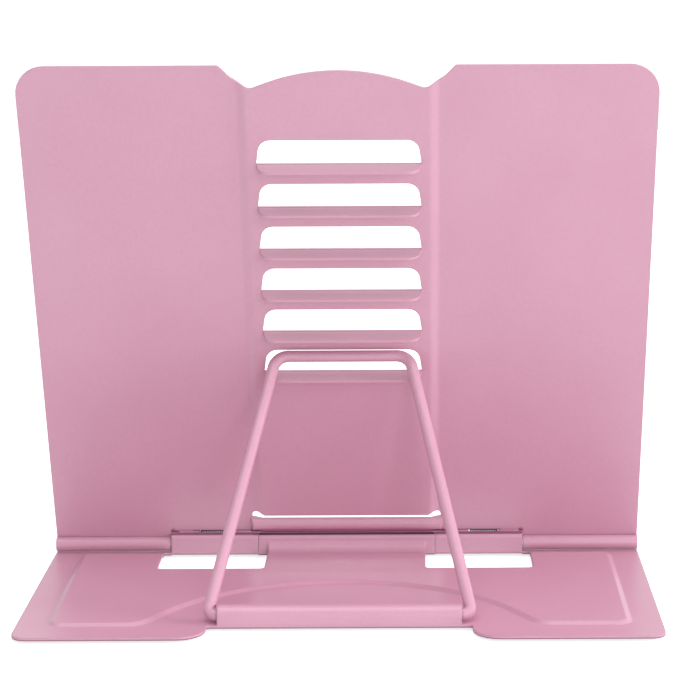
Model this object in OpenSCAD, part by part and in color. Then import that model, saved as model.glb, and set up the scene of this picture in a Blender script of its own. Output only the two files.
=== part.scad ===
// Folding bookstand rack of formed sheet steel.
// A back plate with a ladder of catches turns on a pin in the base, and a wire prop
// that swings in a rolled hem at the rear of the base holds it up.
// X runs along the hinge, the reader is on the -Y side and Z is up. The feet stand on Z = 0.

/* [Sheet and pins] */
// Thickness of the sheet steel
sheet = 1.0; // [0.8:0.1:1.2]
// Diameter of the hinge pin and of the clip pins
pin_d = 3.0; // [2.6:0.1:3.2]
// Radial clearance of the hinge pin in the ears that carry it
ear_clear = 0.02; // [0.01:0.01:0.05]
// Radial running clearance of a pin in its rolled knuckle
pin_clear = 0.1; // [0.05:0.01:0.1]
// Gap between neighbouring knuckles
knuckle_gap = 0.3; // [0.2:0.05:0.5]
// Opening left between a rolled edge and the sheet it came from
roll_seam = 0.25; // [0.2:0.05:0.4]

/* [Back plate] */
// Width of the back plate and of the base
plate_w = 215; // [205:1:240]
// Height of the side panels above the hinge axis
plate_h = 187.3; // [180:0.2:210]
// Radius of the outer top corners
plate_corner_r = 10; // [4:1:16]
// Lean of the plate from upright in the steepest setting
lean = 17.2; // [15:0.2:19]
// Height of the hinge axis above the table
hinge_z = 5.1; // [5.0:0.1:5.6]
// Width of the outer knuckles rolled from the plate's lower edge
knuckle_w = 42.3; // [36:0.1:44]
// Height of the plate's free lower edge above the hinge axis
plate_edge_s = 4.6; // [4.4:0.1:5.2]

/* [Channel and top edge] */
// Width of the raised middle channel between its walls
channel_w = 62.4; // [60:0.2:66]
// How far the channel stands out to the rear
channel_rise = 1.2; // [0.8:0.1:1.6]
// Width of each sloping channel wall
channel_wall = 2.6; // [1.6:0.1:4]
// Bend radius at the channel walls
channel_bend_r = 3.5; // [1:0.5:6]
// Distance from the middle to the inner end of a side panel's top edge
panel_end_x = 39.5; // [38:0.1:44]
// Distance from the middle to the end of the steep part beside the panel
step_x = 36; // [35:0.1:37]
// Drop of that end below the side panels
step_drop = 3.8; // [3:0.1:5]
// Distance from the middle to the low point beside the top hump
valley_x = 29.5; // [28:0.5:31]
// Drop of that low point below the side panels
valley_drop = 7.9; // [6:0.1:9]
// Drop of the hump's crest below the side panels
hump_drop = 1.4; // [0:0.2:3]

/* [Catch ladder] */
// Number of catches
catch_n = 6; // [4:1:7]
// Distance between catches
catch_pitch = 16; // [15.5:0.05:16.5]
// Height of the lowest catch's fold above the hinge axis
catch_low = 72.5; // [71:0.1:75]
// Width of a catch at its fold
catch_w = 55.9; // [50:0.1:58]
// Height of a catch's opening
catch_h = 8.6; // [8:0.1:9]
// Narrowing of an opening from its fold to its top, on each side
catch_taper = 1.2; // [0:0.1:2]
// Radius of an opening's top corners and of a flap's free corners
catch_r = 4.2; // [2:0.1:4.5]
// Length of a flap behind the channel
flap_len = 7; // [6:0.1:7.4]
// Outer radius of a flap's bend
flap_bend_r = 1.7; // [1.4:0.1:2]

/* [Lower bead] */
// Outer radius of the half-round bead under the slit
bead_r = 2.5; // [2:0.1:2.8]
// Length of the bead along the plate, with its sloping ends
bead_w = 71.2; // [64:0.2:76]
// Height of the flat lip under the bead
bead_lip = 0.8; // [0.4:0.1:1.2]
// How far the bead's ends move inwards as they rise, per millimetre
bead_end_run = 0.48; // [0.2:0.02:1]
// Height of the slit above the bead
slit_h = 1.3; // [1:0.1:2]
// Height of the wider relief at each end of the slit
relief_h = 2.7; // [2:0.1:3.5]
// Width of that relief
relief_w = 4.6; // [3:0.1:6]
// Distance from the bead's end in to the relief's outer end
relief_inset = 0.9; // [0.4:0.1:2]

/* [Base] */
// Height of the base sheet above the table, which is the thickness of the foot pads
foot_h = 1.2; // [1:0.1:1.4]
// Distance from the hinge axis to the rear edge of the feet
foot_y = 100.4; // [96:0.2:110]
// Radius of the feet's outer rear corners
foot_corner_r = 5; // [3:0.5:8]
// Radius of the feet's inner rear corners
foot_inner_r = 9; // [5:0.5:10]
// Distance from the middle to the inner side of a foot
foot_x = 44.2; // [43.8:0.1:48]
// Rise of the pressed plateau
plateau_rise = 1.0; // [0.6:0.1:1.2]
// Width of the plateau's sloping edge
plateau_slope = 1.8; // [0.8:0.1:2]
// Border between the base's side edges and the plateau
plateau_border = 10; // [8:0.5:14]
// Distance from the hinge axis to the plateau's front edge
plateau_front = 5; // [4.6:0.1:6]
// Border between the feet's rear edges and the plateau
plateau_rear_border = 11.4; // [10:0.2:14]
// Half the length of the bay in the plateau's rear edge, at the feet
bay_x = 66; // [62:1:70]
// Distance from the hinge axis to the middle of the bay
bay_y = 42.2; // [38:0.2:50]
// Radius of the bay
bay_r = 66.8; // [60:0.2:72]
// Inner end of each slot in the base
slot_x0 = 29; // [28:0.5:31]
// Outer end of each slot in the base
slot_x1 = 67.6; // [66:0.2:70]
// Length of the slots from front to rear
slot_len = 23.6; // [20:0.2:25]

/* [Hinge barrel of the base] */
// Height of the barrel's top above the table
barrel_top = 8.8; // [8.7:0.1:9]
// Outer radius of the barrel's top edges
barrel_r = 1.3; // [1.2:0.1:1.6]
// Distance from the middle to the ends of the pressed arch
arch_x = 32.5; // [31.5:0.5:33.5]
// Radius of the sweep from the arch down to the base
arch_sweep_r = 4; // [3:0.2:4.2]
// Gap between the arch and each hook beside it
hook_side_gap = 0.15; // [0.1:0.05:0.4]
// Gap at the free end of each hook
hook_gap = 0.4; // [0.3:0.1:0.8]
// Radius of the bend at the foot of each hook
hook_bend_r = 1.2; // [1.1:0.1:1.6]

/* [Prop] */
// Diameter of the prop's wire
wire_d = 4.1; // [3.8:0.1:4.4]
// Clearance round the wire in the rear hem
hem_clear = 0.55; // [0.4:0.05:0.6]
// Distance from the hinge axis to the prop's pivot
prop_y = 84.7; // [82:0.1:86]
// Half width of the hem
hem_x = 40.7; // [39:0.1:41]
// Straight wire that shows between the hem's ends and the bends
hem_end_gap = 0.4; // [0.3:0.1:1]
// Where the prop's legs meet the top bar's line, from the middle
prop_head_x = 23.5; // [21:0.5:25]
// Bend radius of the wire beside the hem
prop_foot_r = 2.4; // [2.3:0.1:2.6]
// Bend radius of the wire at the top bar
prop_head_r = 5.5; // [4:0.5:7]
// Swelling of the wire's radius in its bends
bend_swell = 0.03; // [0.02:0.01:0.1]
// Distance of the top bar's axis behind the channel
bar_out = 1.6; // [1.3:0.1:1.8]
// Clearance between the top bar and the upper edge of the catch
bar_clear = 0.3; // [0.3:0.05:0.5]

/* [Ledge and page clips] */
// Distance from the hinge axis forward to the clip pins
clip_y = 28.4; // [24:0.2:32]
// Half width of the front ledge
ledge_x = 70; // [68:0.5:76]
// Inner end of each page clip
clip_x = 38.1; // [36:0.1:39]
// Width of a page clip
clip_w = 26.6; // [24:0.2:28]
// Height of a page clip above its pin
clip_h = 36; // [30:1:40]
// Radius of a page clip's top corners
clip_corner_r = 7; // [3:1:9]
// Lean of a closed page clip towards the back plate
clip_lean = 20; // [15:1:24]
// Height of the straight part of a clip
clip_flare_s = 28; // [27:0.5:30]
// Angle of a clip's flared top
clip_flare = 22; // [10:1:30]
// Length of the heel that stops a clip
heel_len = 4.4; // [3:0.2:5]
// Width of a clip's two root knuckles
root_w = 7.6; // [6:0.2:8]

/* [Grip pads] */
// Thickness of the rubber pad on a clip
grip_t = 1.2; // [0.8:0.1:1.6]
// Width of that pad
grip_w = 20; // [16:0.5:22]
// Height of that pad
grip_h = 13; // [10:0.5:14]
// Height of that pad's lower edge above the clip's pin
grip_s = 13; // [11:0.5:14]
// Radius of that pad's corners
grip_r = 3; // [1:0.5:5]

/* [Clip springs] */
// Diameter of the spring wire
spring_wire = 0.8; // [0.6:0.05:0.8]
// Radius of the coil to the middle of its wire
spring_r = 2.1; // [2.05:0.05:2.15]
// Number of turns
spring_turns = 7; // [5:1:8]
// Length of the leg that lies on the clip
spring_leg = 14; // [10:0.5:18]
// Length of the leg that lies under the ledge
spring_foot = 7; // [5:0.5:8]

/* [Foot pads] */
// Diameter of a foot pad
pad_d = 12; // [10:0.5:13]
// Distance of the front pads from the middle
pad_front_x = 60; // [58:0.5:62]
// Distance of the front pads in front of the hinge axis
pad_front_y = 13; // [11:0.5:14]
// Distance of the rear pads from the middle
pad_rear_x = 54.5; // [53:0.5:56]
// Distance of the rear pads from the feet's rear edge
pad_rear_y = 9.6; // [8:0.2:10]
// Radius of the pads' lower edge
pad_edge = 0.4; // [0.2:0.1:0.5]

/* [Hidden] */

paint = [0.86, 0.65, 0.73];
steel = [0.72, 0.72, 0.74];
rubber = [0.90, 0.88, 0.88];

$fn = 48;
arc_steps = 8;
wide_arc_r = 20;
wide_arc_steps = 28;
eps = 0.01;
far = 400;

bore_r = pin_d / 2 + pin_clear;
roll_r = bore_r + sheet;

// the back plate's layers, as distances behind the hinge axis
panel_front = -roll_r;
panel_rear = panel_front + sheet;
channel_front = panel_front + channel_rise;
channel_rear = channel_front + sheet;
knuckle_x = plate_w / 2 - knuckle_w;
bead_s = plate_edge_s + bead_lip + bead_r;
slit_s = bead_s + bead_r;

// the base's levels
rim_top = foot_h + sheet;
plateau_under = foot_h + plateau_rise;
plateau_top = rim_top + plateau_rise;
wing_y = -roll_r - knuckle_gap;
hem_z = rim_top + hem_clear + wire_d / 2;
hem_bore = wire_d / 2 + hem_clear;
hem_r = hem_bore + sheet;
rear_edge_y = prop_y + hem_r;

// the prop, found from the bar's seat in the lowest catch and from its pivot
bar_s = catch_low + catch_h - sqrt(pow(wire_d / 2 + bar_clear, 2) - pow(bar_out, 2));
bar_n = channel_rear + bar_out;
bar_y = bar_s * sin(lean) + bar_n * cos(lean);
bar_z = hinge_z + bar_s * cos(lean) - bar_n * sin(lean);
prop_len = norm([prop_y - bar_y, bar_z - hem_z]);
prop_angle = atan2(bar_z - hem_z, bar_y - prop_y);

// where the prop's legs meet the pivot line, so that their bends end clear of the hem
function foot_meet(x) = hem_x + hem_end_gap + prop_foot_r * tan(45 + atan2(x - prop_head_x, prop_len) / 2);
prop_foot_x = foot_meet(foot_meet(hem_x + prop_foot_r));

// the ledge, the clips and their springs
clip_z = foot_h + roll_r;
ledge_front = -clip_y;
notch_depth = roll_r + knuckle_gap;
leg_gap = 0.03;
window_x0 = root_w;
window_x1 = clip_w - root_w;
window_s = roll_r + 2 * spring_wire;
ledge_end_x = clip_x + clip_w + knuckle_gap;
leg_n = panel_front - spring_wire / 2 - leg_gap;
foot_leg_z = foot_h / 2;

// moves everything so that the middle of the footprint is on the Z axis
mid_y = (foot_y + ledge_front - roll_r) / 2;

// ---- outlines: each corner is [x, y, radius] and the corners run anticlockwise ----
function unit(v) = v / norm(v);
function cross2(a, b) = a.x * b.y - a.y * b.x;
function xy(p) = [p.x, p.y];

// points along the arc that rounds corner c between its neighbours p and n
function corner_arc(p, c, n) =
    let (
        a = unit(xy(p) - xy(c)),
        b = unit(xy(n) - xy(c)),
        half = acos(max(-1, min(1, a * b))) / 2,
        centre = xy(c) + unit(a + b) * c.z / sin(half),
        first = xy(c) + a * c.z / tan(half) - centre,
        turn = sign(cross2(-a, b)) * (180 - 2 * half),
        start = atan2(first.y, first.x),
        steps = c.z > wide_arc_r ? wide_arc_steps : arc_steps
    )
    [for (k = [0:steps]) centre + c.z * [cos(start + turn * k / steps), sin(start + turn * k / steps)]];

function rounded(corners) =
    let (count = len(corners))
    [for (i = [0:count - 1])
        let (c = corners[i])
        each c.z > 0
            ? corner_arc(corners[(i + count - 1) % count], c, corners[(i + 1) % count])
            : [xy(c)]];

// a closed outline from its right half, which runs from the bottom to the top
function mirrored(half) =
    concat(half, [for (i = [len(half) - 1:-1:0]) if (half[i].x > 0) [-half[i].x, half[i].y, half[i].z]]);

// the same corners moved outwards by d, with their arcs kept parallel
function grown(corners, d) =
    let (count = len(corners))
    [for (i = [0:count - 1])
        let (
            c = corners[i],
            u = unit(xy(c) - xy(corners[(i + count - 1) % count])),
            v = unit(xy(corners[(i + 1) % count]) - xy(c)),
            nu = [u.y, -u.x],
            nv = [v.y, -v.x],
            moved = xy(c) + (nu + nv) * d / (1 + nu * nv)
        )
        [moved.x, moved.y, c.z > 0 ? c.z + d * sign(cross2(u, v)) : 0]];

function box_corners(x0, y0, x1, y1, r) = [[x0, y0, r], [x1, y0, r], [x1, y1, r], [x0, y1, r]];

// a solid between two outlines with as many points each, all of them in sight of the hub
module loft(low, z_low, high, z_high, hub) {
    count = len(low);
    polyhedron(
        points = concat(
            [for (p = low) [p.x, p.y, z_low]],
            [for (p = high) [p.x, p.y, z_high]],
            [[hub.x, hub.y, z_low], [hub.x, hub.y, z_high]]
        ),
        faces = concat(
            [for (i = [0:count - 1]) [2 * count, i, (i + 1) % count]],
            [for (i = [0:count - 1]) [2 * count + 1, count + (i + 1) % count, count + i]],
            [for (i = [0:count - 1]) [i, count + i, count + (i + 1) % count, (i + 1) % count]]
        )
    );
}

// the right half of an outline that starts at its lower right corner, lapped over the middle
function right_half(points, lap) =
    let (half = [for (p = points) if (p.x > -eps / 2) p], last = half[len(half) - 1])
    concat(half, [[-lap, last.y], [-lap, half[0].y]]);

// ---- frames ----
module footprint_frame() {
    translate([0, -mid_y, 0]) children();
}

// the plate's own frame: x to the left side, y up the plate from the hinge axis, z to the rear
module plate_frame() {
    footprint_frame() translate([0, 0, hinge_z]) rotate([-lean, 0, 0]) rotate([90, 0, 180]) children();
}

// the prop's frame: y from its pivot to the top bar
module prop_frame() {
    footprint_frame() translate([0, prop_y, hem_z]) rotate([prop_angle, 0, 0]) children();
}

// a clip's frame: x along its pin from its inner or outer end, y up the clip, z to the rear
module clip_pin_frame() {
    footprint_frame() translate([clip_x, ledge_front, clip_z]) children();
}

module clip_frame() {
    clip_pin_frame() rotate([-clip_lean, 0, 0]) translate([clip_w, 0, 0]) rotate([90, 0, 180]) children();
}

// draws its child for the +X side, or mirrors it to the other side
module on_side(right) {
    if (right) children();
    else mirror([1, 0, 0]) children();
}

// an outline in [y, z] drawn out along X from x0 to x1
module along_x(x0, x1) {
    translate([x0, 0, 0]) rotate([90, 0, 90]) linear_extrude(x1 - x0) children();
}

module rod_x(x0, x1, r) {
    translate([x0, 0, 0]) rotate([0, 90, 0]) cylinder(r = r, h = x1 - x0);
}

// a sheet edge rolled into a knuckle round the X axis; the sheet leaves it along +Y at the front
module rolled_edge(x0, x1) {
    difference() {
        union() {
            rod_x(x0, x1, roll_r);
            translate([x0, 0, -roll_r]) cube([x1 - x0, plate_edge_s + eps, sheet]);
        }
        rod_x(x0 - 1, x1 + 1, bore_r);
        translate([x0 - 1, 0, -bore_r]) cube([x1 - x0 + 2, roll_r, roll_seam]);
    }
}

// ---- back plate ----
hump_edge_x = 24;
valley_r = 3;
step_r = 8;
panel_end_r = 1.5;
hump_rise = valley_drop - hump_drop - (valley_x - hump_edge_x) * 0.38;
hump_r = (pow(hump_edge_x, 2) + pow(hump_rise, 2)) / (2 * hump_rise);
hump_steps = 12;

plate_corners = mirrored(concat(
    [
        [knuckle_x, 0, 0],
        [plate_w / 2, 0, 0],
        [plate_w / 2, plate_h, plate_corner_r],
        [panel_end_x, plate_h, panel_end_r],
        [step_x, plate_h - step_drop, step_r],
        [valley_x, plate_h - valley_drop, valley_r],
    ],
    [for (k = [0:hump_steps])
        let (x = hump_edge_x * (1 - k / hump_steps))
        [x, plate_h - hump_drop - hump_r + sqrt(pow(hump_r, 2) - pow(x, 2)), 0]]
));

// the sheet seen from above its edge, with the channel stepped to the rear
section_corners = concat(
    [
        [-plate_w / 2, panel_front, 0],
        [-channel_w / 2 - channel_wall, panel_front, channel_bend_r],
        [-channel_w / 2, channel_front, channel_bend_r],
        [channel_w / 2, channel_front, channel_bend_r],
        [channel_w / 2 + channel_wall, panel_front, channel_bend_r],
        [plate_w / 2, panel_front, 0],
    ],
    [
        [plate_w / 2, panel_rear, 0],
        [channel_w / 2 + channel_wall, panel_rear, channel_bend_r],
        [channel_w / 2, channel_rear, channel_bend_r],
        [-channel_w / 2, channel_rear, channel_bend_r],
        [-channel_w / 2 - channel_wall, panel_rear, channel_bend_r],
        [-plate_w / 2, panel_rear, 0],
    ]
);

catch_corners = mirrored([
    [catch_w / 2, 0, 0],
    [catch_w / 2 - catch_taper, catch_h, catch_r],
]);

// the outline of one flap, which is the metal pushed out of the opening
flap_corners = mirrored([
    [catch_w / 2, -catch_h, 0],
    [catch_w / 2, channel_rear, 0],
    [catch_w / 2 - catch_taper, channel_rear + flap_len, catch_r],
]);

// the bent flap in [y, z], with the fold's outside at y = 0
flap_section = [
    [-flap_bend_r - 1, channel_front, 0],
    [-flap_bend_r - 1, channel_rear, 0],
    [-sheet, channel_rear, flap_bend_r - sheet],
    [-sheet, channel_rear + flap_len, 0],
    [0, channel_rear + flap_len, 0],
    [0, channel_front, flap_bend_r],
];

module flap() {
    intersection() {
        along_x(-catch_w / 2, catch_w / 2) polygon(rounded(flap_section));
        translate([0, far / 2, 0]) rotate([90, 0, 0]) linear_extrude(far) polygon(rounded(flap_corners));
    }
}

relief_x = bead_w / 2 - relief_inset;
slit_corners = mirrored([
    [relief_x, 0, 0.4],
    [relief_x, relief_h, 1.5],
    [relief_x - relief_w / 2, relief_h, 1],
    [relief_x - relief_w, slit_h, 1],
]);

// an outline in [x, z] drawn out over the bead's height
module over_bead() {
    translate([0, bead_s + bead_r + 1, 0]) rotate([90, 0, 0]) linear_extrude(2 * bead_r + 2) children();
}

// a half round of radius r along X with straight legs to the front, its sloping ends moved in by inset
module bead_form(r, inset) {
    z_low = panel_front - 1;
    z_high = channel_front + bead_r + 1;
    x_low = bead_w / 2 - inset + (panel_rear - z_low) * bead_end_run;
    x_high = bead_w / 2 - inset - (z_high - panel_rear) * bead_end_run;
    intersection() {
        along_x(-bead_w, bead_w) union() {
            translate([bead_s, channel_front]) circle(r = r);
            translate([bead_s - r, z_low]) square([2 * r, channel_front - z_low]);
        }
        over_bead() polygon([[-x_low, z_low], [x_low, z_low], [x_high, z_high], [-x_high, z_high]]);
    }
}

// the outside of the bead, from the middle of the sheet to the rear
module bead_outside() {
    intersection() {
        bead_form(bead_r, 0);
        over_bead() polygon([
            [-plate_w / 2, panel_front + sheet / 2],
            [-channel_w / 2 - channel_wall, panel_front + sheet / 2],
            [-channel_w / 2, channel_front + sheet / 2],
            [channel_w / 2, channel_front + sheet / 2],
            [channel_w / 2 + channel_wall, panel_front + sheet / 2],
            [plate_w / 2, panel_front + sheet / 2],
            [plate_w / 2, far],
            [-plate_w / 2, far],
        ]);
    }
}

module sheet_blank() {
    intersection() {
        translate([0, far / 2, 0]) rotate([90, 0, 0]) linear_extrude(far) polygon(rounded(section_corners));
        translate([0, 0, -roll_r]) linear_extrude(far) polygon(rounded(plate_corners));
    }
}

notch_r = 0.8;

// the pressed sheet with its openings
module slotted_sheet() {
    difference() {
        sheet_blank();
        // the free lower edge between the knuckles, with a relief beside each knuckle
        translate([-knuckle_x, -roll_r, -far / 2]) cube([2 * knuckle_x, roll_r + plate_edge_s, far]);
        for (side = [-1, 1])
            translate([side * (knuckle_x - notch_r), plate_edge_s, -far / 2]) cylinder(r = notch_r, h = far);
        // the openings of the catches
        for (k = [0:catch_n - 1])
            translate([0, catch_low + k * catch_pitch, -far / 2]) linear_extrude(far)
                polygon(rounded(catch_corners));
        translate([0, slit_s, -far / 2]) linear_extrude(far) polygon(rounded(slit_corners));
        rod_x(-far, far, bore_r);
    }
}

module back_plate_body() {
    difference() {
        union() {
            slotted_sheet();
            bead_outside();
        }
        bead_form(bead_r - sheet, sheet * norm([1, bead_end_run]));
    }
    for (k = [0:catch_n - 1])
        translate([0, catch_low + k * catch_pitch, 0]) flap();
    rolled_edge(knuckle_x, plate_w / 2);
    rolled_edge(-plate_w / 2, -knuckle_x);
}

module back_plate() {
    color(paint) plate_frame() back_plate_body();
}

// ---- base ----
base_corners = mirrored([
    [ledge_x, ledge_front, 0],
    [ledge_x, wing_y, 2],
    [plate_w / 2, wing_y, 1.5],
    [plate_w / 2, foot_y, foot_corner_r],
    [foot_x, foot_y, foot_inner_r],
    [foot_x, rear_edge_y, 1],
]);

// where the straight sides of the bay would meet, and their slope
bay_slope = 59;
bay_apex = bay_y + bay_r - bay_r / cos(bay_slope);

plateau_corners = mirrored([
    [plate_w / 2 - plateau_border, plateau_front, 4],
    [plate_w / 2 - plateau_border, foot_y - plateau_rear_border, 5],
    [bay_x, foot_y - plateau_rear_border, 8],
    [0, bay_apex, bay_r],
]);

half_lap = 0.05;
plateau_hub = [plate_w / 2 - plateau_border - 8, plateau_front + 8];

// the plateau's two halves between the outlines moved in by inset and by a slope more
module plateau_solid(inset, z_low, z_high) {
    for (side = [-1, 1])
        on_side(side > 0)
            loft(
                right_half(rounded(grown(plateau_corners, -inset)), half_lap), z_low,
                right_half(rounded(grown(plateau_corners, -inset - plateau_slope)), half_lap), z_high,
                plateau_hub
            );
}

module plateau_form() {
    plateau_solid(0, rim_top - eps, plateau_top);
}

module plateau_pocket() {
    plateau_solid(sheet / 2, foot_h - eps, plateau_under);
}

barrel_front = -bore_r - sheet;
barrel_rear = bore_r + sheet;

// the arch in [y, z]: up in front of the pin, over it, and down in a sweep to the plateau
module arch_outside() {
    polygon(rounded([
        [barrel_front, foot_h, 0],
        [barrel_rear, foot_h, 0],
        [barrel_rear, barrel_top, barrel_r],
        [barrel_front, barrel_top, barrel_r],
    ]));
    difference() {
        translate([barrel_rear - eps, plateau_under]) square([arch_sweep_r + eps, arch_sweep_r + sheet]);
        translate([barrel_rear + arch_sweep_r, plateau_top + arch_sweep_r]) circle(r = arch_sweep_r);
    }
}

module arch_inside() {
    translate([-bore_r, 0]) square([2 * bore_r, barrel_top - sheet]);
    difference() {
        square([barrel_rear + arch_sweep_r, plateau_top + arch_sweep_r]);
        translate([barrel_rear + arch_sweep_r, plateau_top + arch_sweep_r]) circle(r = arch_sweep_r + sheet);
    }
}

// a hook in [y, z]: the strip cut from a slot, bent up behind the pin and over it
module hook_section() {
    difference() {
        polygon(rounded([
            [barrel_front, foot_h, 0],
            [barrel_rear, foot_h, hook_bend_r],
            [barrel_rear, barrel_top, barrel_r],
            [barrel_front, barrel_top, barrel_r],
        ]));
        translate([-bore_r, rim_top]) square([2 * bore_r, barrel_top - rim_top - sheet]);
        translate([barrel_front - 1, rim_top]) square([sheet + 1 + eps, hook_gap]);
    }
}

// an ear folded across a hook's end, pierced for the pin
module hook_ear(x) {
    difference() {
        along_x(x, x + sheet) polygon(rounded(box_corners(barrel_front, rim_top + hook_gap, barrel_rear, barrel_top, barrel_r)));
        translate([0, 0, hinge_z]) rod_x(x - 1, x + sheet + 1, pin_d / 2 + ear_clear);
    }
}

module hook(x0, x1) {
    along_x(x0, x1) hook_section();
    hook_ear(x0);
    hook_ear(x1 - sheet);
}

// the hem in [y, z]: up from the base's rear edge, round the wire and down in front of it
module hem_section() {
    difference() {
        union() {
            translate([prop_y, hem_z]) circle(r = hem_r);
            polygon(rounded([
                [prop_y, foot_h, 0],
                [rear_edge_y, foot_h, 1.4],
                [rear_edge_y, hem_z, 0],
                [prop_y, hem_z, 0],
            ]));
        }
        translate([prop_y, hem_z]) circle(r = hem_bore);
        translate([prop_y, rim_top]) square([hem_bore - 0.6, hem_bore]);
        translate([prop_y - far, rim_top]) square([far, hem_lip_gap]);
    }
}
hem_lip_gap = 1.0;

hook_x0 = arch_x + hook_side_gap;
hook_x1 = knuckle_x - knuckle_gap;
slot_corners = [
    [slot_x0, barrel_rear, 0.4],
    [slot_x1, barrel_rear, 0.8],
    [slot_x1, barrel_rear + slot_len, 1.8],
    [slot_x0, barrel_rear + slot_len, 1.8],
];

module base_plate_body() {
    difference() {
        union() {
            difference() {
                union() {
                    translate([0, 0, foot_h]) linear_extrude(sheet) polygon(rounded(base_corners));
                    plateau_form();
                    along_x(-arch_x, arch_x) arch_outside();
                }
                plateau_pocket();
                along_x(-arch_x - eps, arch_x + eps) arch_inside();
                for (side = [-1, 1])
                    on_side(side > 0) linear_extrude(far) polygon(rounded(slot_corners));
                // room in the ledge's front edge for each clip and its spring
                for (side = [-1, 1])
                    on_side(side > 0)
                        translate([clip_x - knuckle_gap, ledge_front - roll_r, 0])
                            cube([clip_w + 2 * knuckle_gap, roll_r + notch_depth, far]);
            }
            along_x(-hem_x, hem_x) hem_section();
            // at its ends the arch comes straight down to the slots
            for (side = [-1, 1])
                on_side(side > 0)
                    along_x(slot_x0 - 0.5, arch_x)
                        translate([bore_r, foot_h]) square([sheet, barrel_top - barrel_r - foot_h]);
            hook(hook_x0, hook_x1);
            hook(-hook_x1, -hook_x0);
        }
        // the strip under each hook that its bend replaces
        for (side = [-1, 1])
            on_side(side > 0)
                difference() {
                    translate([hook_x0, barrel_rear - hook_bend_r, foot_h - eps]) cube([hook_x1 - hook_x0, hook_bend_r + eps, hook_bend_r]);
                    along_x(hook_x0, hook_x1) hook_section();
                }
    }
    translate([0, ledge_front, clip_z]) {
        rolled_edge(-clip_x + knuckle_gap, clip_x - knuckle_gap);
        rolled_edge(ledge_end_x, ledge_x);
        rolled_edge(-ledge_x, -ledge_end_x);
    }
}

module base_plate() {
    color(paint) footprint_frame() base_plate_body();
}

module hinge_pin() {
    color(steel) footprint_frame() translate([0, 0, hinge_z]) rod_x(-plate_w / 2 + knuckle_gap, plate_w / 2 - knuckle_gap, pin_d / 2);
}

// ---- prop ----
// how far a straight stretch runs on into the bends at its ends
run_lap = 0.25;

// one straight stretch of wire between two points of the prop's plane
module wire_run(a, b) {
    d = b - a;
    translate([a.x, a.y, 0]) rotate([0, 0, atan2(d.y, d.x)]) rotate([0, 90, 0])
        translate([0, 0, -run_lap]) cylinder(d = wire_d, h = norm(d) + 2 * run_lap);
}

module wire_bend(r, turn) {
    rotate_extrude(angle = turn) translate([r, 0]) circle(r = wire_d / 2 + bend_swell);
}

leg_slope = atan2(prop_foot_x - prop_head_x, prop_len);
foot_turn = 90 + leg_slope;
head_turn = 90 - leg_slope;
foot_setback = prop_foot_r * tan(foot_turn / 2);
head_setback = prop_head_r * tan(head_turn / 2);
leg_dir = [-sin(leg_slope), cos(leg_slope)];

foot_centre = [prop_foot_x - foot_setback, prop_foot_r];
head_centre = [prop_head_x - head_setback, prop_len - prop_head_r];

// the two bends and the leg of one side
module prop_leg() {
    translate(foot_centre) rotate([0, 0, -90]) wire_bend(prop_foot_r, foot_turn);
    wire_run([prop_foot_x, 0] + foot_setback * leg_dir, [prop_head_x, prop_len] - head_setback * leg_dir);
    translate(head_centre) rotate([0, 0, leg_slope]) wire_bend(prop_head_r, head_turn);
}

module prop_wire() {
    color(paint) prop_frame() {
        wire_run([-foot_centre.x, 0], [foot_centre.x, 0]);
        wire_run([-head_centre.x, prop_len], [head_centre.x, prop_len]);
        prop_leg();
        mirror([1, 0, 0]) prop_leg();
    }
}

// ---- page clips ----
clip_corners = [
    [0, plate_edge_s, 0],
    [clip_w, plate_edge_s, 0],
    [clip_w, clip_h, clip_corner_r],
    [0, clip_h, clip_corner_r],
];

// the clip's sheet in [y, z], straight and then flared away from the pages
flare_len = clip_h - clip_flare_s + 2;
flare_tip = [clip_flare_s + flare_len * cos(clip_flare), panel_front - flare_len * sin(clip_flare)];
flare_side = sheet * [sin(clip_flare), cos(clip_flare)];
clip_section = [
    [plate_edge_s - eps, panel_front, 0],
    [clip_flare_s, panel_front, 6],
    [flare_tip.x, flare_tip.y, 0],
    [flare_tip.x + flare_side.x, flare_tip.y + flare_side.y, 0],
    [clip_flare_s + sheet * tan(clip_flare / 2), panel_rear, 7],
    [plate_edge_s - eps, panel_rear, 0],
];

module page_clip_body() {
    difference() {
        union() {
            intersection() {
                along_x(0, clip_w) polygon(rounded(clip_section));
                translate([0, 0, -far / 2]) linear_extrude(far) polygon(rounded(clip_corners));
            }
            rolled_edge(0, root_w);
            rolled_edge(clip_w - root_w, clip_w);
        }
        translate([window_x0, -roll_r, -far / 2]) cube([window_x1 - window_x0, roll_r + window_s, far]);
    }
}

// a lug on a root knuckle that lies on the ledge and stops the clip there
heel_low = rim_top - clip_z + 0.05;

module clip_heels() {
    for (x = [clip_w - root_w, 0])
        difference() {
            translate([x, bore_r * 0.6, heel_low]) cube([root_w, roll_r + heel_len - bore_r * 0.6, sheet]);
            rod_x(x - 1, x + root_w + 1, bore_r);
        }
}

module page_clip(right) {
    color(paint) on_side(right) {
        clip_frame() page_clip_body();
        clip_pin_frame() clip_heels();
    }
}

module left_page_clip() page_clip(false);
module right_page_clip() page_clip(true);

module clip_pin(right) {
    color(steel) on_side(right) footprint_frame() translate([0, ledge_front, clip_z])
        rod_x(clip_x - knuckle_gap - 4, ledge_x - knuckle_gap, pin_d / 2);
}

module left_clip_pin() clip_pin(false);
module right_clip_pin() clip_pin(true);

module grip_pad(right) {
    color(rubber) on_side(right) clip_frame()
        translate([(clip_w - grip_w) / 2, grip_s, panel_rear]) linear_extrude(grip_t)
            polygon(rounded(box_corners(0, 0, grip_w, grip_h, grip_r)));
}

module left_grip_pad() grip_pad(false);
module right_grip_pad() grip_pad(true);

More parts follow.
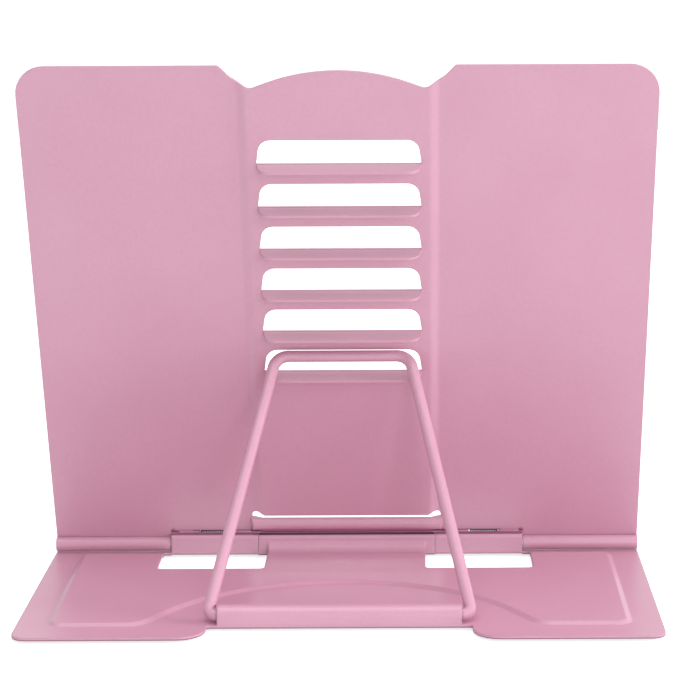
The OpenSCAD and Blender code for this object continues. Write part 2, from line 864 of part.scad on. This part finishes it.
// ---- clip springs ----
ring_steps = 16;
wire_sides = 8;
coil_pitch = (window_x1 - window_x0 - 2 * spring_wire - 0.6) / spring_turns;
coil_x0 = window_x0 + spring_wire + 0.3;

// the wire's middle line in the pin's frame: along the clip, round the pin, then under the ledge
up_clip = [cos(90 - clip_lean), sin(90 - clip_lean)];
out_clip = [cos(clip_lean), -sin(clip_lean)];
function clip_point(s, n) = s * up_clip + n * out_clip;
leg_start = 180 - clip_lean;
coil_sweep = 360 * spring_turns - 90 - leg_start;
spring_path = concat(
    [for (s = [spring_leg, window_s - 0.1]) let (p = clip_point(s, leg_n)) [coil_x0, p.x, p.y]],
    [for (k = [0:ring_steps * spring_turns])
        let (a = leg_start + coil_sweep * k / (ring_steps * spring_turns))
        [coil_x0 + coil_pitch * spring_turns * k / (ring_steps * spring_turns), spring_r * cos(a), spring_r * sin(a)]],
    [
        [coil_x0 + coil_pitch * spring_turns, notch_depth * 0.45, -spring_r - 0.1],
        [coil_x0 + coil_pitch * spring_turns, notch_depth - 0.2, foot_leg_z - clip_z],
        [coil_x0 + coil_pitch * spring_turns, notch_depth + spring_foot, foot_leg_z - clip_z],
    ]
);

// a round wire swept along a path
module swept_wire(path, r) {
    count = len(path);
    tangents = [for (i = [0:count - 1]) unit(path[min(i + 1, count - 1)] - path[max(i - 1, 0)])];
    rings = [for (i = [0:count - 1])
        let (
            side = unit(cross(tangents[i], [1, 0, 0.001])),
            up = cross(tangents[i], side)
        )
        for (k = [0:wire_sides - 1])
            path[i] + r * (cos(360 * k / wire_sides) * side + sin(360 * k / wire_sides) * up)];
    polyhedron(
        points = rings,
        faces = concat(
            [[for (k = [wire_sides - 1:-1:0]) k]],
            [[for (k = [0:wire_sides - 1]) (count - 1) * wire_sides + k]],
            [for (i = [0:count - 2], k = [0:wire_sides - 1])
                [i * wire_sides + k, i * wire_sides + (k + 1) % wire_sides,
                    (i + 1) * wire_sides + (k + 1) % wire_sides, (i + 1) * wire_sides + k]]
        )
    );
}

module clip_spring(right) {
    color(steel) on_side(right) clip_pin_frame() swept_wire(spring_path, spring_wire / 2);
}

module left_clip_spring() clip_spring(false);
module right_clip_spring() clip_spring(true);

// ---- foot pads ----
module foot_pad(x, y) {
    color(rubber) footprint_frame() translate([x, y, 0]) rotate_extrude()
        polygon([[0, 0], [pad_d / 2 - pad_edge, 0], [pad_d / 2, pad_edge], [pad_d / 2, foot_h], [0, foot_h]]);
}

module front_left_foot_pad() foot_pad(-pad_front_x, -pad_front_y);
module front_right_foot_pad() foot_pad(pad_front_x, -pad_front_y);
module rear_left_foot_pad() foot_pad(-pad_rear_x, foot_y - pad_rear_y);
module rear_right_foot_pad() foot_pad(pad_rear_x, foot_y - pad_rear_y);

base_plate();
back_plate();
hinge_pin();
prop_wire();
left_page_clip();
right_page_clip();
left_clip_pin();
right_clip_pin();
left_clip_spring();
right_clip_spring();
left_grip_pad();
right_grip_pad();
front_left_foot_pad();
front_right_foot_pad();
rear_left_foot_pad();
rear_right_foot_pad();
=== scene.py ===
import math

import bmesh
import bpy
from mathutils import Matrix, Vector


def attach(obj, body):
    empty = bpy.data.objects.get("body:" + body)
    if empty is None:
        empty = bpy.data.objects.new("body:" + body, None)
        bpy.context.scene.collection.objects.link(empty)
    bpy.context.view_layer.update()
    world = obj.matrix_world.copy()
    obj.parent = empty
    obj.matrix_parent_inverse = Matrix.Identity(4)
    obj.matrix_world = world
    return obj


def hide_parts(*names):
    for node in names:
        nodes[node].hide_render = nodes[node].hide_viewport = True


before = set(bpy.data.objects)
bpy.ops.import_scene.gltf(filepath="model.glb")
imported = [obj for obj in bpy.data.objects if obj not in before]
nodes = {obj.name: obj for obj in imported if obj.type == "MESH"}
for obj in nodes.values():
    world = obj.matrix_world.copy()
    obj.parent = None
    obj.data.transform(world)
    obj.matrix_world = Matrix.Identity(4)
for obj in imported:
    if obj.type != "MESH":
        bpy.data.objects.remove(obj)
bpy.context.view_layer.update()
scene = bpy.context.scene

MM = 0.001
HINGE_Y = -34.7  # the plate's hinge axis, in mm
HINGE_Z = 5.1
PLATE_LEAN = math.radians(17.2)  # the plate's lean to the rear at rest

# ------------------------------------------------------------------ camera
PICTURE = 680.0  # pixels across the picture
FOCAL = 2200.0  # focal length in those pixels
AXIS_COLUMN = 414.05  # column of the picture that the camera looks along
SENSOR = 36.0  # mm
CAMERA_AT = Vector((-25.2, 787.1 + HINGE_Y, 232.4))  # mm
CAMERA_DOWN = 10.85  # degrees below level
CAMERA_ROLL = -0.245  # degrees

cam_data = bpy.data.cameras.new("view")
cam_data.sensor_width = SENSOR
cam_data.lens = SENSOR * FOCAL / PICTURE
cam_data.shift_x = (PICTURE / 2.0 - AXIS_COLUMN) / PICTURE
cam_data.clip_start = 0.05
cam_data.clip_end = 20.0
cam = bpy.data.objects.new("view", cam_data)
cam.matrix_world = (
    Matrix.Translation(CAMERA_AT * MM)
    @ Matrix.Rotation(math.radians(180.0), 4, "Z")
    @ Matrix.Rotation(math.radians(90.0 - CAMERA_DOWN), 4, "X")
    @ Matrix.Rotation(math.radians(CAMERA_ROLL), 4, "Z")
)
scene.collection.objects.link(cam)
scene.camera = cam

# ------------------------------------------------------------------ node trees
SOCKETS = {
    "colour": "NodeSocketColor",
    "count": "NodeSocketInt",
    "geometry": "NodeSocketGeometry",
    "look": "NodeSocketMaterial",
    "number": "NodeSocketFloat",
    "vector": "NodeSocketVector",
}


def new_tree(name, kind, inputs, outputs):
    """A node tree with named sockets, what it is given and what it gives."""
    tree = bpy.data.node_groups.new(name, kind)
    for label, sort, value in inputs:
        socket = tree.interface.new_socket(name=label, in_out="INPUT", socket_type=SOCKETS[sort])
        if value is not None:
            socket.default_value = value
    for label, sort in outputs:
        tree.interface.new_socket(name=label, in_out="OUTPUT", socket_type=SOCKETS[sort])
    return tree, tree.nodes.new("NodeGroupInput").outputs, tree.nodes.new("NodeGroupOutput").inputs


def feed(tree, source, socket):
    """Link the socket to another socket, or give it a value."""
    if isinstance(source, bpy.types.NodeSocket):
        tree.links.new(source, socket)
    else:
        socket.default_value = source


def step(tree, kind, options=(), **sources):
    """A node with its options set first, and then its sockets fed."""
    node = tree.nodes.new(kind)
    for label, choice in dict(options).items():
        setattr(node, label, choice)
    for label, source in sources.items():
        feed(tree, source, node.inputs[label.replace("_", " ")])
    return node


def maths(tree, operation, *terms):
    """The result of one sum on one or two numbers."""
    node = step(tree, "ShaderNodeMath", {"operation": operation})
    for term, socket in zip(terms, node.inputs):
        feed(tree, term, socket)
    return node.outputs[0]


# ------------------------------------------------------------------ finishes
ROSE = (0.642, 0.344, 0.455, 1.0)
ROSE_DEEP = (0.620, 0.321, 0.433, 1.0)
# colours of painted shade, laid over the coat in bands where shadow falls
SHADE_LINE = (0.10, 0.02, 0.05, 1.0)
BEAD_SHADE = (0.42, 0.13, 0.25, 1.0)
CREST_SHADE = (0.36, 0.13, 0.22, 1.0)
SOLE_SHADE = (0.30, 0.12, 0.19, 1.0)
STEEL = (0.60, 0.60, 0.62, 1.0)
STAINED_STEEL = (0.36, 0.35, 0.34, 1.0)
SPRING = (0.075, 0.070, 0.075, 1.0)
RUBBER = (0.62, 0.58, 0.58, 1.0)
FOOT_RUBBER = (0.60, 0.57, 0.57, 1.0)
BLOOMED_RUBBER = (0.54, 0.50, 0.50, 1.0)

FINISH = [("Colour", "colour"), ("Roughness", "number"), ("Normal", "vector")]
NOISE_LOW = 0.3
NOISE_HIGH = 0.7


def noise(tree, where, scale, detail, rough):
    """Noise over the surface, with its cells' number to the metre as the scale."""
    node = step(
        tree, "ShaderNodeTexNoise", Vector=where, Scale=scale, Detail=detail, Roughness=rough
    )
    return node.outputs["Fac"]


def ranged(tree, value, low, high):
    """The middle of the noise's range, where most of it lies, spread from low to high."""
    node = step(
        tree,
        "ShaderNodeMapRange",
        Value=value,
        From_Min=NOISE_LOW,
        From_Max=NOISE_HIGH,
        To_Min=low,
        To_Max=high,
    )
    return node.outputs["Result"]


def mixed(tree, factor, a, b, sort="RGBA", blend="MIX"):
    """From a at a factor of 0 to b at 1."""
    node = step(
        tree, "ShaderNodeMix", {"data_type": sort, "blend_type": blend}, Factor=factor, A=a, B=b
    )
    return node.outputs["Result"]


def make_coat_group():
    """Powder coat: a soft orange peel, faint cloudiness and a slightly uneven gloss."""
    tree, need, give = new_tree(
        "powder coat finish",
        "ShaderNodeTree",
        [
            ("Vector", "vector", None),
            ("Colour", "colour", ROSE),
            ("Deep colour", "colour", ROSE_DEEP),
            ("Peel", "number", 0.25),
            ("Edge radius", "number", 0.28 * MM),
        ],
        FINISH,
    )
    cloud = noise(tree, need["Vector"], scale=22.0, detail=3.0, rough=0.55)
    grain = noise(tree, need["Vector"], scale=900.0, detail=2.0, rough=0.6)
    peel = noise(tree, need["Vector"], scale=420.0, detail=1.0, rough=0.45)
    clouded = mixed(tree, ranged(tree, cloud, 0.0, 1.0), need["Deep colour"], need["Colour"])
    level = ranged(tree, grain, 0.975, 1.015)
    tone = step(tree, "ShaderNodeCombineColor", Red=level, Green=level, Blue=level)
    speckled = mixed(tree, 1.0, clouded, tone.outputs["Color"], blend="MULTIPLY")
    soft_edges = step(tree, "ShaderNodeBevel", {"samples": 8}, Radius=need["Edge radius"])
    bump = step(
        tree,
        "ShaderNodeBump",
        Distance=0.05 * MM,
        Strength=need["Peel"],
        Height=peel,
        Normal=soft_edges.outputs["Normal"],
    )
    feed(tree, speckled, give["Colour"])
    feed(tree, ranged(tree, cloud, 0.37, 0.33), give["Roughness"])
    feed(tree, bump.outputs["Normal"], give["Normal"])
    return tree


def make_painted_shade_group():
    """Painted shade: the coat turns to a dark shade colour and dull between two heights, measured
    along Up from the origin, within a half width of the middle.
    """
    tree, need, give = new_tree(
        "painted shade band",
        "ShaderNodeTree",
        [
            ("Vector", "vector", None),
            ("Colour", "colour", ROSE),
            ("Roughness", "number", 0.3),
            ("Up", "vector", (0.0, 0.0, 1.0)),
            ("Deep", "colour", SHADE_LINE),
            ("Deep at", "number", 0.0),
            ("Plain at", "number", 1.0),
            ("Half width", "number", 1.0),
        ],
        FINISH[:2],
    )
    height = step(tree, "ShaderNodeVectorMath", {"operation": "DOT_PRODUCT"})
    feed(tree, need["Vector"], height.inputs[0])
    feed(tree, need["Up"], height.inputs[1])
    plain = step(
        tree,
        "ShaderNodeMapRange",
        {"interpolation_type": "SMOOTHSTEP"},
        Value=height.outputs["Value"],
        From_Min=need["Deep at"],
        From_Max=need["Plain at"],
    )
    across = step(tree, "ShaderNodeSeparateXYZ", Vector=need["Vector"])
    off_centre = maths(tree, "ABSOLUTE", across.outputs["X"])
    beyond = maths(tree, "GREATER_THAN", off_centre, need["Half width"])
    kept = maths(tree, "MAXIMUM", plain.outputs["Result"], beyond)
    feed(tree, mixed(tree, kept, need["Deep"], need["Colour"]), give["Colour"])
    feed(tree, mixed(tree, kept, 1.0, need["Roughness"], "FLOAT"), give["Roughness"])
    return tree


DRAWN_LINES = (60.0, 1400.0, 1400.0)  # long along X and fine across it


def make_metal_group():
    """Drawn metal: fine lines along X, faint staining and a soft grain."""
    tree, need, give = new_tree(
        "drawn metal finish",
        "ShaderNodeTree",
        [("Vector", "vector", None), ("Colour", "colour", STEEL)],
        FINISH,
    )
    stretch = step(tree, "ShaderNodeMapping", Vector=need["Vector"], Scale=DRAWN_LINES)
    lines = noise(tree, stretch.outputs["Vector"], scale=1.0, detail=3.0, rough=0.6)
    stain = noise(tree, need["Vector"], scale=160.0, detail=3.0, rough=0.6)
    clean = ranged(tree, stain, 0.75, 1.0)
    bump = step(tree, "ShaderNodeBump", Strength=0.25, Distance=0.02 * MM, Height=lines)
    feed(tree, mixed(tree, clean, STAINED_STEEL, need["Colour"]), give["Colour"])
    feed(tree, ranged(tree, lines, 0.22, 0.38), give["Roughness"])
    feed(tree, bump.outputs["Normal"], give["Normal"])
    return tree


def make_rubber_group():
    """Moulded rubber: a fine matt grain with a little bloom."""
    tree, need, give = new_tree(
        "moulded rubber finish",
        "ShaderNodeTree",
        [("Vector", "vector", None), ("Colour", "colour", RUBBER)],
        FINISH,
    )
    grain = noise(tree, need["Vector"], scale=1500.0, detail=2.0, rough=0.6)
    bloom = noise(tree, need["Vector"], scale=120.0, detail=2.0, rough=0.5)
    clean = ranged(tree, bloom, 0.4, 1.0)
    bump = step(tree, "ShaderNodeBump", Strength=0.4, Distance=0.03 * MM, Height=grain)
    feed(tree, mixed(tree, clean, BLOOMED_RUBBER, need["Colour"]), give["Colour"])
    feed(tree, ranged(tree, bloom, 0.72, 0.60), give["Roughness"])
    feed(tree, bump.outputs["Normal"], give["Normal"])
    return tree


COAT = make_coat_group()
PAINTED_SHADE_GROUP = make_painted_shade_group()
METAL = make_metal_group()
RUBBERY = make_rubber_group()
COAT_IOR = 1.58
RUBBER_IOR = 1.45


def placed_group(tree, group, where, values):
    """The group as a node that reads the place on the surface and holds its own values."""
    node = step(tree, "ShaderNodeGroup", {"node_tree": group}, Vector=where)
    for label, value in values.items():
        node.inputs[label].default_value = value
    return node


def material(name, finish, values, painted_shade_bands=(), **shader):
    """A Principled shader, fed by the finish group and the bands of painted shade laid over it."""
    look = bpy.data.materials.new(name)
    look.use_nodes = True
    tree = look.node_tree
    bsdf = tree.nodes["Principled BSDF"]
    where = step(tree, "ShaderNodeTexCoord").outputs["Object"]
    last = placed_group(tree, finish, where, values)
    tree.links.new(last.outputs["Normal"], bsdf.inputs["Normal"])
    for shade_values in painted_shade_bands:
        shaded = placed_group(tree, PAINTED_SHADE_GROUP, where, shade_values)
        for label in ("Colour", "Roughness"):
            tree.links.new(last.outputs[label], shaded.inputs[label])
        last = shaded
    tree.links.new(last.outputs["Colour"], bsdf.inputs["Base Color"])
    tree.links.new(last.outputs["Roughness"], bsdf.inputs["Roughness"])
    for label, value in shader.items():
        bsdf.inputs[label].default_value = value
    return look


def coat_material(name, values, painted_shade_bands=()):
    return material(name, COAT, values, painted_shade_bands, Metallic=0.0, IOR=COAT_IOR)


HOOK_TOP = 8.79  # mm above the table, the crest of the hooks and the arch
ARCH_HALF = 32.6  # mm from the middle to the arch's ends
SOLE = 1.3  # mm above the table, the base's lower edges
UP_PLATE = (0.0, math.sin(PLATE_LEAN), math.cos(PLATE_LEAN))
HINGE_UP = HINGE_Y * math.sin(PLATE_LEAN) + HINGE_Z * math.cos(PLATE_LEAN)  # mm along UP_PLATE
BEAD_HALF = 35.6  # mm from the middle to the bead's ends
EDGE_HALF = 57.0  # mm from the middle to the outer knuckles


def painted_shade_band(deep_at, plain_at, **values):
    """A band of painted shade, its heights in mm: where the painted shade is deepest and where the
    coat is plain again.
    """
    return {"Deep at": deep_at * MM, "Plain at": plain_at * MM, **values}


def within(half_width):
    return {"Half width": half_width * MM}


coat = coat_material("powder coat", {"Peel": 0.25})
coat_base = coat_material(
    "powder coat on the base",
    {"Peel": 0.25, "Edge radius": 0.9 * MM},
    [
        # painted shade along the crest of the hooks and the arch, darker on the arch: it stands
        # for the shadow under the plate's lower edge and dims the crest's reflection
        painted_shade_band(HOOK_TOP, 8.68, Deep=CREST_SHADE),
        painted_shade_band(HOOK_TOP, 8.66, **within(ARCH_HALF)),
        # painted shade on the base's lower edges, standing for the contact shadow next to the
        # table
        painted_shade_band(SOLE, 1.8, Deep=SOLE_SHADE),
    ],
)
coat_plate = coat_material(
    "powder coat on the back plate",
    {"Peel": 0.25},
    [
        # painted shade on the lower half of the plate's bead, where it faces down
        painted_shade_band(HINGE_UP + 4.8, HINGE_UP + 7.8, Up=UP_PLATE, Deep=BEAD_SHADE, **within(BEAD_HALF)),
        # a painted shadow line along the plate's lower edge, above the barrel
        painted_shade_band(HINGE_UP + 4.65, HINGE_UP + 5.1, Up=UP_PLATE, **within(EDGE_HALF)),
    ],
)
coat_wire = coat_material("powder coat on wire", {"Peel": 0.35})
pin_steel = material("plated steel", METAL, {"Colour": STEEL}, Metallic=1.0)
spring_steel = material("spring wire", METAL, {"Colour": SPRING}, Metallic=1.0)
grip_rubber = material("grip rubber", RUBBERY, {"Colour": RUBBER}, Metallic=0.0, IOR=RUBBER_IOR)
foot_rubber = material(
    "foot rubber", RUBBERY, {"Colour": FOOT_RUBBER}, Metallic=0.0, IOR=RUBBER_IOR
)

LOOKS = {
    "base_plate": coat_base,
    "back_plate": coat_plate,
    "prop_wire": coat_wire,
    "hinge_pin": pin_steel,
}
for side in ("left", "right"):
    LOOKS[side + "_page_clip"] = coat
    LOOKS[side + "_clip_pin"] = pin_steel
    LOOKS[side + "_clip_spring"] = spring_steel
    LOOKS[side + "_grip_pad"] = grip_rubber
    LOOKS["front_" + side + "_foot_pad"] = foot_rubber
    LOOKS["rear_" + side + "_foot_pad"] = foot_rubber
for node_name, look in LOOKS.items():
    for slot in nodes[node_name].material_slots:
        slot.material = look

# ------------------------------------------------------------------ clip springs and grip pads
# All in mm. Each clip turns on a pin along X. These are the right clip's sizes, and the left
# one is its mirror image.
SHEET = 1.0
EDGE_ROLL = 2.6  # outer radius of the curl round the pin
LEDGE_OUT = 28.4  # from the plate's hinge forward to the clips' pins
CLIP_X = 38.1
CLIP_W = 26.6
CLIP_LEAN = math.radians(20.0)
CLIP_PIN = Vector((CLIP_X, -LEDGE_OUT + HINGE_Y, 3.8))
WIRE_R = 0.4
COIL_R = 2.1
TURNS = 12
TURN_STEPS = 28
COIL_START = 8.14  # from the clip's inner edge
COIL_PITCH = 0.86
LEG_IN = -EDGE_ROLL - WIRE_R - 0.03  # the leg lies against the front of the clip's sheet
PAD_MIDDLE = 19.5  # up the clip from its pin


def finished(tree, geometry, look, give):
    """Realize Instances and Set Material at the end of a tree."""
    whole = step(tree, "GeometryNodeRealizeInstances", Geometry=geometry)
    painted = step(tree, "GeometryNodeSetMaterial", Geometry=whole.outputs[0], Material=look)
    feed(tree, painted.outputs[0], give["Geometry"])


def make_wire_tree():
    """A round wire with flat ends along the path that it is given."""
    tree, need, give = new_tree(
        "wire along a path",
        "GeometryNodeTree",
        [
            ("Geometry", "geometry", None),
            ("Wire radius", "number", WIRE_R * MM),
            ("Sides", "count", 14),
            ("Look", "look", None),
        ],
        [("Geometry", "geometry")],
    )
    path = step(tree, "GeometryNodeMeshToCurve", Mesh=need["Geometry"])
    ring = step(
        tree,
        "GeometryNodeCurvePrimitiveCircle",
        Resolution=need["Sides"],
        Radius=need["Wire radius"],
    )
    wire = step(
        tree,
        "GeometryNodeCurveToMesh",
        Curve=path.outputs[0],
        Profile_Curve=ring.outputs[0],
        Fill_Caps=True,
    )
    smooth = step(tree, "GeometryNodeSetShadeSmooth", Geometry=wire.outputs[0])
    finished(tree, smooth.outputs[0], need["Look"], give)
    return tree


def make_ribbed_pad_tree():
    """A moulded slab with rounded corners and half-round ribs along its face."""
    tree, need, give = new_tree(
        "ribbed pad",
        "GeometryNodeTree",
        [
            ("Geometry", "geometry", None),
            ("Width", "number", 20.0 * MM),
            ("Height", "number", 13.0 * MM),
            ("Corner", "number", 3.0 * MM),
            ("Slab", "number", 0.85 * MM),
            ("Ribs", "count", 8),
            ("Rib pitch", "number", 1.4 * MM),
            ("Rib radius", "number", 0.35 * MM),
            ("Rib inset", "number", 3.6 * MM),
            ("Look", "look", None),
        ],
        [("Geometry", "geometry")],
    )
    outline = step(
        tree,
        "GeometryNodeCurvePrimitiveQuadrilateral",
        Width=need["Width"],
        Height=need["Height"],
    )
    rounded = step(
        tree,
        "GeometryNodeFilletCurve",
        {"mode": "POLY"},
        Curve=outline.outputs[0],
        Radius=need["Corner"],
        Count=8,
    )
    face = step(tree, "GeometryNodeFillCurve", Curve=rounded.outputs[0])
    top = step(
        tree,
        "GeometryNodeExtrudeMesh",
        Mesh=face.outputs[0],
        Offset_Scale=need["Slab"],
        Individual=False,
    )
    under = step(tree, "GeometryNodeFlipFaces", Mesh=face.outputs[0])
    slab = step(tree, "GeometryNodeJoinGeometry")
    for part in (under, top):
        tree.links.new(part.outputs[0], slab.inputs[0])
    closed = step(
        tree, "GeometryNodeMergeByDistance", Geometry=slab.outputs[0], Distance=0.001 * MM
    )

    ribbed = maths(tree, "SUBTRACT", need["Width"], need["Rib inset"])
    half = maths(tree, "MULTIPLY", ribbed, 0.5)
    left_end = step(tree, "ShaderNodeCombineXYZ", X=maths(tree, "MULTIPLY", half, -1.0))
    right_end = step(tree, "ShaderNodeCombineXYZ", X=half)
    line = step(
        tree,
        "GeometryNodeCurvePrimitiveLine",
        Start=left_end.outputs[0],
        End=right_end.outputs[0],
    )
    ring = step(
        tree, "GeometryNodeCurvePrimitiveCircle", Resolution=12, Radius=need["Rib radius"]
    )
    rib = step(
        tree,
        "GeometryNodeCurveToMesh",
        Curve=line.outputs[0],
        Profile_Curve=ring.outputs[0],
        Fill_Caps=True,
    )
    span = maths(
        tree, "MULTIPLY", maths(tree, "SUBTRACT", need["Ribs"], 1.0), need["Rib pitch"]
    )
    first_row = maths(tree, "MULTIPLY", span, -0.5)
    start = step(tree, "ShaderNodeCombineXYZ", Y=first_row, Z=need["Slab"])
    stride = step(tree, "ShaderNodeCombineXYZ", Y=need["Rib pitch"])
    rows = step(
        tree,
        "GeometryNodeMeshLine",
        Count=need["Ribs"],
        Start_Location=start.outputs[0],
        Offset=stride.outputs[0],
    )
    ribs = step(
        tree, "GeometryNodeInstanceOnPoints", Points=rows.outputs[0], Instance=rib.outputs[0]
    )
    soft = step(tree, "GeometryNodeSetShadeSmooth", Geometry=ribs.outputs[0])

    pad = step(tree, "GeometryNodeJoinGeometry")
    for part in (soft, closed):
        tree.links.new(part.outputs[0], pad.inputs[0])
    finished(tree, pad.outputs[0], need["Look"], give)
    return tree


def grown_mesh(name, tree, values, points=(), place=None):
    """The tree's result as a plain object at the origin, with its place in its mesh."""
    seed_mesh = bpy.data.meshes.new(name)
    links = [(i, i + 1) for i in range(len(points) - 1)]
    seed_mesh.from_pydata([p * MM for p in points], links, [])
    seed = bpy.data.objects.new(name + "_seed", seed_mesh)
    scene.collection.objects.link(seed)
    grow = seed.modifiers.new(tree.name, "NODES")
    grow.node_group = tree
    for item in tree.interface.items_tree:
        if item.in_out == "INPUT" and item.name in values:
            grow[item.identifier] = values[item.name]
    graph = bpy.context.evaluated_depsgraph_get()
    mesh = bpy.data.meshes.new_from_object(seed.evaluated_get(graph))
    bpy.data.objects.remove(seed)
    mesh.name = name
    if place:
        mesh.transform(place)
    tidy = bmesh.new()
    tidy.from_mesh(mesh)
    bmesh.ops.recalc_face_normals(tidy, faces=tidy.faces)
    tidy.to_mesh(mesh)
    tidy.free()
    piece = bpy.data.objects.new(name, mesh)
    scene.collection.objects.link(piece)
    return piece


def eased(points, rounds=3):
    """A path with its corners cut, so that the wire bends instead of breaking."""
    for _ in range(rounds):
        cut = [points[0]]
        for a, b in zip(points, points[1:]):
            cut += [a.lerp(b, 0.25), a.lerp(b, 0.75)]
        points = cut + [points[-1]]
    return points


def on_clip(up, rearward):
    """A point on the closed clip, up its sheet from the pin and off it to the rear."""
    return (
        up * math.sin(CLIP_LEAN) + rearward * math.cos(CLIP_LEAN),
        up * math.cos(CLIP_LEAN) - rearward * math.sin(CLIP_LEAN),
    )


WIRE_TREE = make_wire_tree()
PAD_TREE = make_ribbed_pad_tree()
LEG_START = math.pi - CLIP_LEAN
COIL_SWEEP = math.radians(360.0 * TURNS - 90.0) - LEG_START
COIL_STEPS = TURN_STEPS * TURNS
COIL_END = COIL_START + COIL_PITCH * TURNS
LEDGE_DOWN = -3.2  # the foot leg's middle on the ledge, from the pin


def coil_point(k):
    """The coil's path, from the leg on the clip to the foot leg on the ledge."""
    a = LEG_START + COIL_SWEEP * k / COIL_STEPS
    x = COIL_START + COIL_PITCH * TURNS * k / COIL_STEPS
    return Vector((x, COIL_R * math.cos(a), COIL_R * math.sin(a)))


# one leg drops from the coil to the ledge and runs back along it
foot_leg = [
    coil_point(COIL_STEPS),
    Vector((COIL_END, 1.3, -COIL_R - 0.1)),
    Vector((COIL_END, 2.6, LEDGE_DOWN)),
    Vector((COIL_END, 9.9, LEDGE_DOWN)),
]
coil_path = [coil_point(k) for k in range(COIL_STEPS)] + eased(foot_leg)
# the other lies up the front of the clip
leg_path = eased(
    [
        Vector((COIL_START, *on_clip(14.0, LEG_IN))),
        Vector((COIL_START, *on_clip(4.1, LEG_IN))),
        Vector((COIL_START, *on_clip(1.2, -COIL_R))),
        coil_point(0),
    ]
)
pad_place = (
    Matrix.Translation(CLIP_PIN * MM)
    @ Matrix.Rotation(-CLIP_LEAN, 4, "X")
    @ Matrix.Translation((CLIP_W * MM, 0.0, 0.0))
    @ Matrix.Rotation(math.pi, 4, "Z")
    @ Matrix.Rotation(math.pi / 2.0, 4, "X")
    @ Matrix.Translation((CLIP_W / 2.0 * MM, PAD_MIDDLE * MM, (-EDGE_ROLL + SHEET) * MM))
)

MIRROR = Matrix.Scale(-1.0, 4, (1.0, 0.0, 0.0))
for side, turn in (("left", MIRROR), ("right", Matrix.Identity(4))):
    place = turn @ Matrix.Translation(CLIP_PIN * MM)
    wire = {"Look": spring_steel}
    coil = grown_mesh(side + "_spring_coil", WIRE_TREE, wire, coil_path, place)
    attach(coil, "base")
    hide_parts(side + "_clip_spring")
    leg = grown_mesh(side + "_spring_leg", WIRE_TREE, wire, leg_path, place)
    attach(leg, side + "_clip")
    rubber = {"Look": grip_rubber}
    pad = grown_mesh(side + "_ribbed_pad", PAD_TREE, rubber, (), turn @ pad_place)
    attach(pad, side + "_clip")
    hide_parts(side + "_grip_pad")

# ------------------------------------------------------------------ floor and background
FLOOR_HALF = 6.0  # metres
FLOOR_GLOW = 0.75  # lifts the pale floor to white for the camera and in reflections
AMBIENT = 0.485  # the world's light on the object, where the background itself is 1

corners = [(x * FLOOR_HALF, y * FLOOR_HALF, 0.0) for x, y in ((-1, -1), (1, -1), (1, 1), (-1, 1))]
floor_mesh = bpy.data.meshes.new("floor")
floor_mesh.from_pydata(corners, [], [(0, 1, 2, 3)])
floor = bpy.data.objects.new("floor", floor_mesh)
scene.collection.objects.link(floor)

floor_look = bpy.data.materials.new("pale floor")
floor_look.use_nodes = True
floor_tree = floor_look.node_tree
floor_bsdf = floor_tree.nodes["Principled BSDF"]
floor_bsdf.inputs["Base Color"].default_value = (0.90, 0.90, 0.90, 1.0)
floor_bsdf.inputs["Roughness"].default_value = 0.9
floor_bsdf.inputs["Specular IOR Level"].default_value = 0.0
ray = step(floor_tree, "ShaderNodeLightPath").outputs
seen = maths(floor_tree, "MAXIMUM", ray["Is Camera Ray"], ray["Is Glossy Ray"])
dark = step(floor_tree, "ShaderNodeEmission", Strength=0.0)
glow = step(floor_tree, "ShaderNodeEmission", Strength=FLOOR_GLOW)
picked = step(floor_tree, "ShaderNodeMixShader", Fac=seen)
feed(floor_tree, dark.outputs[0], picked.inputs[1])
feed(floor_tree, glow.outputs[0], picked.inputs[2])
lit = step(floor_tree, "ShaderNodeAddShader")
feed(floor_tree, floor_bsdf.outputs[0], lit.inputs[0])
feed(floor_tree, picked.outputs[0], lit.inputs[1])
feed(floor_tree, lit.outputs[0], floor_tree.nodes["Material Output"].inputs["Surface"])
floor.data.materials.append(floor_look)

world = bpy.data.worlds.new("studio")
scene.world = world
world.use_nodes = True
sky = world.node_tree
background = sky.nodes["Background"]
background.inputs["Color"].default_value = (1.0, 1.0, 1.0, 1.0)
ray = step(sky, "ShaderNodeLightPath").outputs
mirrored = maths(sky, "MAXIMUM", ray["Is Camera Ray"], ray["Is Glossy Ray"])
seen = maths(sky, "MAXIMUM", mirrored, ray["Is Transmission Ray"])
level = step(sky, "ShaderNodeMapRange", Value=seen, To_Min=AMBIENT, To_Max=1.0)
feed(sky, level.outputs["Result"], background.inputs["Strength"])

# ------------------------------------------------------------------ light
MIDDLE = (0.0, 0.0, 0.1)  # the object's middle, in metres
HINGE_LINE = (0.0, 0.0, 0.02)
TABLE = (0.0, 0.0, 0.0)


def lamp(name, place, aim, width, power, tall=None):
    """A soft rectangular lamp at a place in metres, turned to a point, with its watts."""
    data = bpy.data.lights.new(name, "AREA")
    data.shape = "RECTANGLE"
    data.size = width
    data.size_y = tall or width
    data.energy = power
    o = bpy.data.objects.new(name, data)
    o.location = place
    o.rotation_euler = (Vector(aim) - Vector(place)).to_track_quat("-Z", "Y").to_euler()
    scene.collection.objects.link(o)
    return o


# the picture's right is -X, and most of its light comes from there
lamp("key", (-1.1, 1.3, 0.65), MIDDLE, 0.7, 4.3)
lamp("rear", (-0.45, 1.7, 0.35), MIDDLE, 0.4, 5.0)
side_lamp = lamp("side", (-1.6, 0.2, 0.6), MIDDLE, 0.7, 15.2)
lamp("top", (0.0, 0.3, 1.6), TABLE, 1.2, 10.0)
front = lamp("front", (0.0, -1.6, 0.45), MIDDLE, 1.0, 5.0)
# in reflections these two would wash out the satin coat
side_lamp.visible_glossy = False
front.visible_glossy = False
# seen only as the pale sheen that comes through the slit onto the base
sheen = lamp("sheen", (0.05, -1.6, 0.49), HINGE_LINE, 0.3, 1.6, 0.4)
sheen.visible_diffuse = False
sheen.visible_camera = False

scene.view_settings.view_transform = "Standard"
